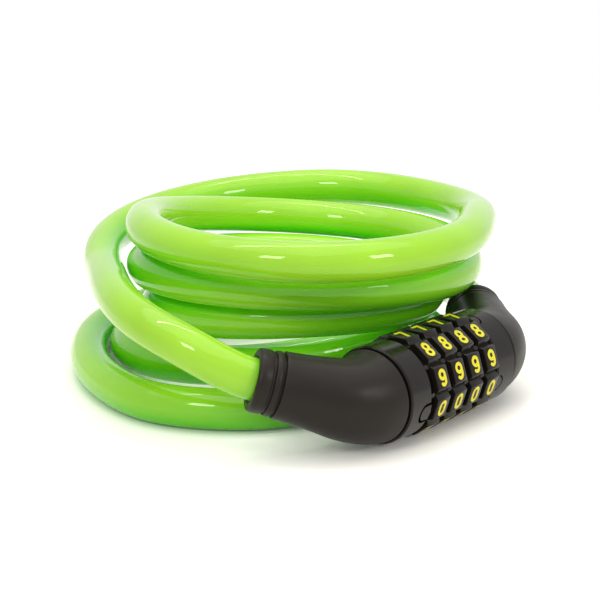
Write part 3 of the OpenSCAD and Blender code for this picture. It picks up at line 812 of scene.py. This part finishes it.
def number_patch(number, width, height, line):
    """A painted number: a fine grid, kept within half a line of a stroke and drawn in to that edge."""
    margin, drawn_in = 2 * NUMBER_CELL, 0.75 * NUMBER_CELL
    half_w, half_h = (width - line) / 2, (height - line) / 2
    x = np.arange(-width / 2 - margin, width / 2 + margin, NUMBER_CELL)
    y = np.arange(-height / 2 - margin, height / 2 + margin, NUMBER_CELL)
    gx, gy = np.meshgrid(x, y, indexing="ij")
    grid = np.stack([gx.ravel(), gy.ravel()], 1)

    def reach(points):
        """Distance from each point to the nearest stroke, less half a line."""
        best = np.full(len(points), np.inf)
        for stroke in number_strokes(number):
            s = stroke * [half_w, half_h]
            a, d = s[:-1], np.diff(s, axis=0)
            t = np.clip(((points[:, None] - a) * d).sum(2) / np.maximum((d * d).sum(1), 1e-9), 0, 1)
            best = np.minimum(best, np.linalg.norm(points[:, None] - a - t[..., None] * d, axis=2).min(1))
        return best - line / 2

    far = reach(grid)
    nudge = 1e-3
    slope = np.stack([reach(grid + [nudge, 0]) - far, reach(grid + [0, nudge]) - far], 1) / nudge
    near = np.abs(far) < drawn_in
    moved = np.where(near[:, None], grid - far[:, None] * slope, grid)
    faces = grid_faces(len(x), len(y))
    faces = faces[(far < drawn_in)[faces].all(1)]
    used, faces = np.unique(faces, return_inverse=True)
    faces = faces.reshape(-1, 4)[:, ::-1]
    depth = PAINT_EDGE + PAINT_RISE * np.clip(-far[used] / PAINT_SLOPE, 0, 1)
    return np.column_stack([moved[used], depth]), faces


class CABLELOCK_OT_numbers(bpy.types.Operator):
    """Paint the numbers on the dials' faces"""

    bl_idname = "cable_lock.numbers"
    bl_label = "Numbers"

    def execute(self, context):
        sizes = context.scene.cable_lock_body
        shapes = [number_patch(k, sizes.number_width / MM, sizes.number_height / MM, sizes.number_line / MM)
                  for k in range(NUMBER_COUNT)]
        middle = DIAL_GAP / 2 + RIM_WIDTH + (DIAL_PITCH - DIAL_GAP - RIM_WIDTH) / 2
        for index in range(DIAL_COUNT):
            points, faces, count = [], [], 0
            for row in range(NUMBER_COUNT):
                shape, quads = shapes[(ROW_ON_TOP + row) % NUMBER_COUNT]
                a = np.radians(row * NUMBER_STEP)
                out = np.array([0, -np.sin(a), np.cos(a)])
                up = np.array([0, np.cos(a), np.sin(a)])
                place = np.array([DIALS_START + index * DIAL_PITCH + middle, 0, AXIS_Z]) + FACE_HEIGHT * out
                points.append(place + shape[:, 0:1] * [1, 0, 0] + shape[:, 1:2] * up + shape[:, 2:3] * out)
                faces.append(quads + count)
                count += len(shape)
            piece = mesh_object(f"numbers_{index + 1}", np.concatenate(points) * MM,
                                np.concatenate(faces).tolist())
            piece.data.materials.append(kept("Number Paint", paint_material))
            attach(piece, f"dial_{index + 1}")
        return {"FINISHED"}


class CABLELOCK_OT_mechanism(bpy.types.Operator):
    """Finish the metal of the lock's core, pin and wheels"""

    bl_idname = "cable_lock.mechanism"
    bl_label = "Mechanism"

    def execute(self, context):
        steel = metal_material("Turned Steel", STEEL, roughness=0.26)
        brass = metal_material("Turned Brass", BRASS, roughness=0.3)
        for node in ("core_tube", "circlip", "clutch_spring", "lock_pin", "plug_cross_pin",
                     "barrel_cross_pin", "plug_ferrule", "barrel_ferrule", "plug_strand", "barrel_strand"):
            dress(node, steel)
        for index in range(DIAL_COUNT):
            dress(f"code_wheel_{index + 1}", brass)
        return {"FINISHED"}


# ---- the stage, in metres ----
FLOOR_REACH = 6.0
SURROUND_COLOUR = (0.88, 1, 0.84, 1)
LAMP_COLOUR = (1.0, 0.965, 0.9)
OVER_LOCK = (0.02, 0.05, 0.03)
# Each lamp's name, place, aim, width and height, and power in watts
LAMPS = (("overhead", (0.02, 0.05, 1.0), STAGE_CENTRE, (1.4, 1.4), 7.0),
         ("strip", (0.1, 0.3, 0.95), OVER_LOCK, (0.9, 0.02), 1.6),
         ("right box", (0.02, -0.75, 0.42), OVER_LOCK, (0.22, 0.2), 1.7),
         ("left box", (-0.75, -0.1, 0.55), OVER_LOCK, (0.22, 0.2), 1.5))


def surround(strength):
    """Slightly green light all round, seen as white by the camera and in reflections."""
    world = bpy.data.worlds.new("surround")
    bpy.context.scene.world = world
    world.use_nodes = True
    tree = world.node_tree
    background = tree.nodes["Background"]
    background.inputs["Color"].default_value = SURROUND_COLOUR
    background.inputs["Strength"].default_value = strength
    white = tree.nodes.new("ShaderNodeBackground")
    white.inputs["Color"].default_value = WHITE
    white.inputs["Strength"].default_value = 1.0
    share = tree.nodes.new("ShaderNodeMixShader")
    tree.links.new(seen_rays(tree), share.inputs["Fac"])
    tree.links.new(background.outputs["Background"], share.inputs[1])
    tree.links.new(white.outputs["Background"], share.inputs[2])
    tree.links.new(share.outputs["Shader"], tree.nodes["World Output"].inputs["Surface"])


def lamp(name, place, aim, size, power):
    """A rectangular soft lamp that stands at a place and faces a point."""
    data = bpy.data.lights.new(name, "AREA")
    data.shape = "RECTANGLE"
    data.size, data.size_y = size
    data.energy = power
    data.color = LAMP_COLOUR
    obj = bpy.data.objects.new(name, data)
    bpy.context.scene.collection.objects.link(obj)
    obj.location = place
    obj.rotation_euler = facing(place, aim)


class CABLELOCK_OT_stage(bpy.types.Operator):
    """Lay the pale floor and set the soft studio light"""

    bl_idname = "cable_lock.stage"
    bl_label = "Stage"

    def execute(self, context):
        far = FLOOR_REACH
        floor = mesh_object("floor", [(-far, -far, 0), (far, -far, 0), (far, far, 0), (-far, far, 0)],
                            [(0, 1, 2, 3)])
        floor.data.materials.append(floor_material())
        surround(context.scene.cable_lock_stage.world_strength)
        for values in LAMPS:
            lamp(*values)
        return {"FINISHED"}


class CABLELOCK_PT_panel(bpy.types.Panel):
    bl_label = "Cable Lock"
    bl_idname = "CABLELOCK_PT_panel"
    bl_space_type = "VIEW_3D"
    bl_region_type = "UI"
    bl_category = "Cable Lock"

    def draw(self, context):
        for settings in (context.scene.cable_lock_cable, context.scene.cable_lock_body,
                         context.scene.cable_lock_stage):
            box = self.layout.box()
            for key in settings.__annotations__:
                box.prop(settings, key)
        for operator in OPERATORS:
            self.layout.operator(operator.bl_idname)


OPERATORS = (CABLELOCK_OT_camera, CABLELOCK_OT_cable, CABLELOCK_OT_caps, CABLELOCK_OT_dials,
             CABLELOCK_OT_numbers, CABLELOCK_OT_mechanism, CABLELOCK_OT_stage)
CLASSES = (CableSettings, LockSettings, StageSettings, *OPERATORS, CABLELOCK_PT_panel)


def register():
    for cls in CLASSES:
        bpy.utils.register_class(cls)
    bpy.types.Scene.cable_lock_cable = bpy.props.PointerProperty(type=CableSettings)
    bpy.types.Scene.cable_lock_body = bpy.props.PointerProperty(type=LockSettings)
    bpy.types.Scene.cable_lock_stage = bpy.props.PointerProperty(type=StageSettings)


def unregister():
    del bpy.types.Scene.cable_lock_stage
    del bpy.types.Scene.cable_lock_body
    del bpy.types.Scene.cable_lock_cable
    for cls in reversed(CLASSES):
        bpy.utils.unregister_class(cls)


def main():
    register()
    bpy.context.scene.view_settings.view_transform = "Standard"
    bpy.ops.cable_lock.camera()
    bpy.ops.cable_lock.cable()
    bpy.ops.cable_lock.caps()
    bpy.ops.cable_lock.dials()
    bpy.ops.cable_lock.numbers()
    bpy.ops.cable_lock.mechanism()
    bpy.ops.cable_lock.stage()


if __name__ == "__main__":
    main()
